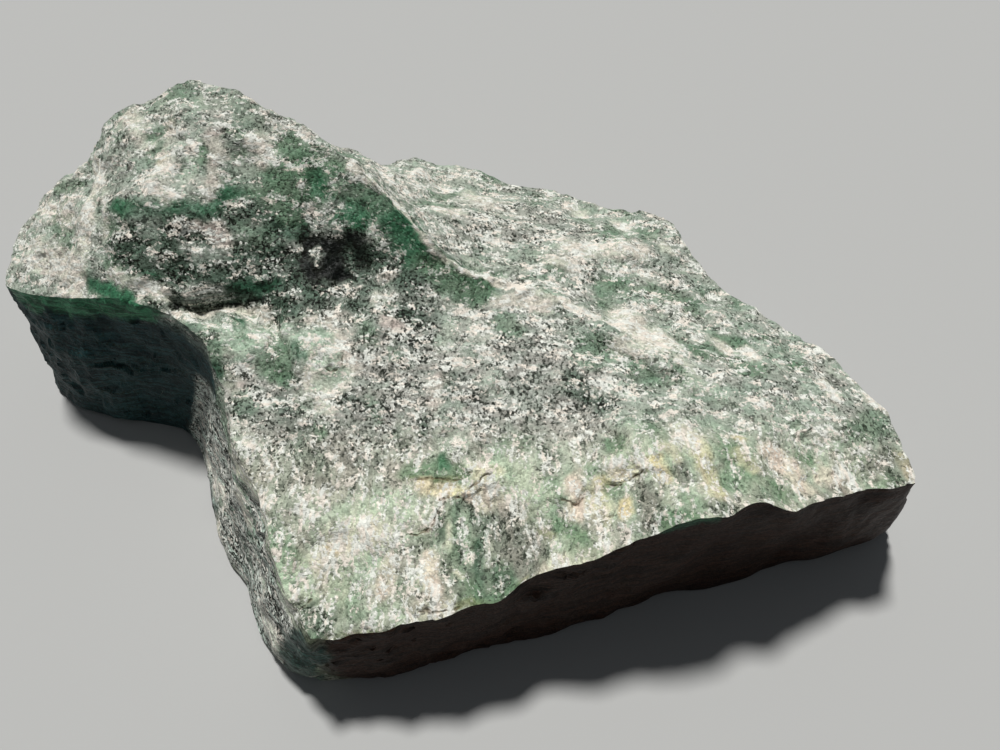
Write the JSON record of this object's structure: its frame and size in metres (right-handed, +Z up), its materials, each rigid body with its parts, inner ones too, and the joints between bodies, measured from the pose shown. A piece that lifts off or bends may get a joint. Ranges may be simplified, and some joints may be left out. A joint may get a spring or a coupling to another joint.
{
  "type": "rough aventurine boulder",
  "caption": "Rough broken boulder of green aventurine quartz: a low slab with a scooped crest at one end, lying on its flat underside.",
  "frame": {"origin": "under the middle of the boulder's bounding box, on the surface it lies on", "axes": "+X along the boulder's length from the crest's end to the slab's end, +Y from the slab's front edge to the back, +Z up"},
  "size_m": [0.402, 0.247, 0.13],
  "materials": {
    "aventurine": "rough broken surface, salt-and-pepper grain with green patches"
  },
  "bodies": {
    "root": {"boulder": "aventurine"}
  },
  "joints": []
}
